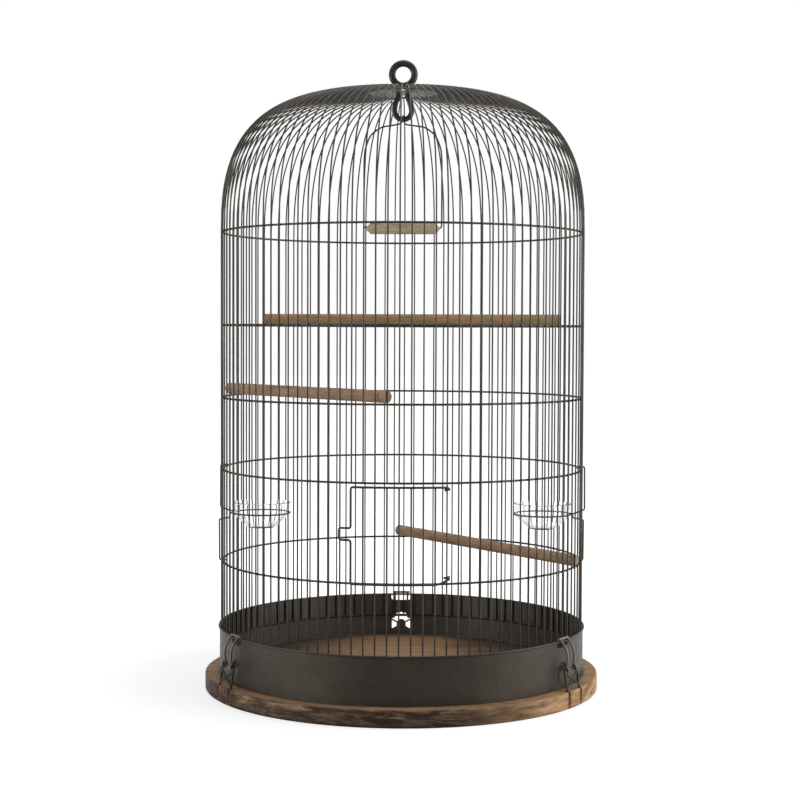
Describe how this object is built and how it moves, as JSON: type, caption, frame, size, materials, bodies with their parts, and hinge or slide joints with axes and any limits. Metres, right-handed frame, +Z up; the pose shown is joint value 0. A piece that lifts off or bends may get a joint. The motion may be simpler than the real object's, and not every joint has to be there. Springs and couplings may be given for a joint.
{
  "type": "bird cage",
  "caption": "Round domed wire bird cage on a wooden board, with a skirt held by wire latches, a hinged front door, perches, a swing, side bowls and a hanging ring.",
  "frame": {"origin": "centre of the board's underside", "axes": "+Z up to the hanging ring, -Y out of the front door, +X to the right seen from the front"},
  "size_m": [0.48, 0.48, 0.7637],
  "materials": {
    "wire": "dark warm brown-grey, satin, slightly mottled",
    "skirt": "dark warm brown-grey sheet metal, satin",
    "board": "stained softwood, matt, with open grain",
    "perch": "stained round rod, matt",
    "glass": "clear, slightly grey"
  },
  "bodies": {
    "cage": {"base_board": "board", "skirt_band": "skirt", "rim_wire": "skirt", "bars_front": "wire", "bars_front_right": "wire", "bars_right": "wire", "bars_back_right": "wire", "bars_back": "wire", "bars_back_left": "wire", "bars_left": "wire", "bars_front_left": "wire", "lower_hoop": "wire", "feeder_hoop": "wire", "middle_hoop": "wire", "upper_hoop": "wire", "crown_hoop": "wire", "hub_plate": "wire", "hanger": "wire", "lower_perch": "perch", "middle_perch": "perch", "upper_perch": "perch", "bowl_holder_right": "wire", "bowl_holder_left": "wire", "latch_anchor_right": "wire", "latch_anchor_back": "wire", "latch_anchor_left": "wire"},
    "door": {"front_door": "wire"},
    "swing": {"swing_wire": "wire", "swing_perch": "perch"},
    "bowl_right": {"glass_bowl_right": "glass"},
    "bowl_left": {"glass_bowl_left": "glass"},
    "latch_right": {"latch_hook_right": "wire"},
    "latch_back": {"latch_hook_back": "wire"},
    "latch_left": {"latch_hook_left": "wire"}
  },
  "joints": [
    {"name": "door_hinge", "type": "hinge", "parent": "cage", "child": "door", "pos_m": [0.05272, -0.2139, 0.21], "axis": [0, 0, 1], "range_deg": [0, 120]},
    {"name": "swing_pivot", "type": "hinge", "parent": "cage", "child": "swing", "pos_m": [0, 0, 0.69173], "axis": [1, 0, 0], "range_deg": [-35, 35]},
    {"name": "bowl_lift_right", "type": "slide", "parent": "cage", "child": "bowl_right", "axis": [0, 0, 1], "range_m": [0, 0.035]},
    {"name": "bowl_lift_left", "type": "slide", "parent": "cage", "child": "bowl_left", "axis": [0, 0, 1], "range_m": [0, 0.035]},
    {"name": "latch_pivot_right", "type": "hinge", "parent": "cage", "child": "latch_right", "pos_m": [0.19794, -0.12273, 0.0445], "axis": [0.527, 0.8499, 0], "range_deg": [0, 140]},
    {"name": "latch_pivot_back", "type": "hinge", "parent": "cage", "child": "latch_back", "pos_m": [-0.00325, 0.23288, 0.0445], "axis": [-0.9999, -0.014, 0], "range_deg": [0, 140]},
    {"name": "latch_pivot_left", "type": "hinge", "parent": "cage", "child": "latch_left", "pos_m": [-0.19963, -0.11995, 0.0445], "axis": [0.515, -0.8572, 0], "range_deg": [0, 140]}
  ]
}
